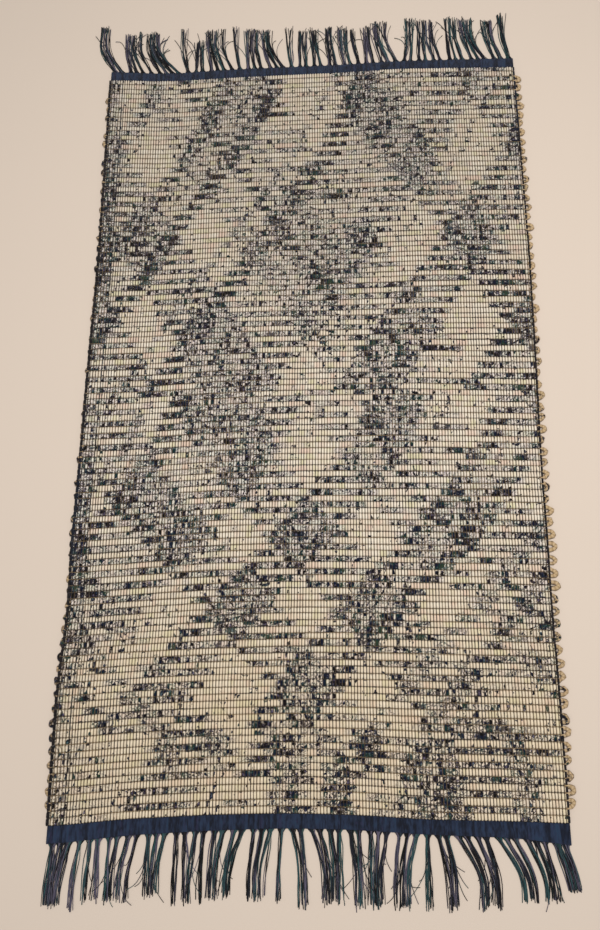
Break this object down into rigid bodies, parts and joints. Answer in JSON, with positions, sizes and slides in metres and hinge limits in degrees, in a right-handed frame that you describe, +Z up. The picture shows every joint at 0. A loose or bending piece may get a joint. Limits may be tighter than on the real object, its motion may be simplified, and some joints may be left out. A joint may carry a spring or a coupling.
{
  "type": "rag rug",
  "caption": "Rectangular handwoven rag rug lying flat, with a dark woven heading and a fringe of loose warp bundles at each end and small weft loops along the sides.",
  "frame": {"origin": "on the underside, under the middle of the rug's outline", "axes": "+Y along the rug's length towards its far end, +X across its width, +Z up out of its face"},
  "size_m": [0.7324, 1.4028, 0.006],
  "materials": {
    "rag_cloth": "cream cotton rag weft printed with near-black, navy and teal marks, crossed by thin dark warp threads",
    "heading_yarn": "matt navy yarn, closely woven, ribbed by the warp",
    "fringe_yarn": "near-black, navy, teal and plum cotton warp thread"
  },
  "bodies": {
    "root": {"rag_body": "rag_cloth", "heading_near": "heading_yarn", "heading_far": "heading_yarn", "fringe_near": "fringe_yarn", "fringe_far": "fringe_yarn"}
  },
  "joints": []
}
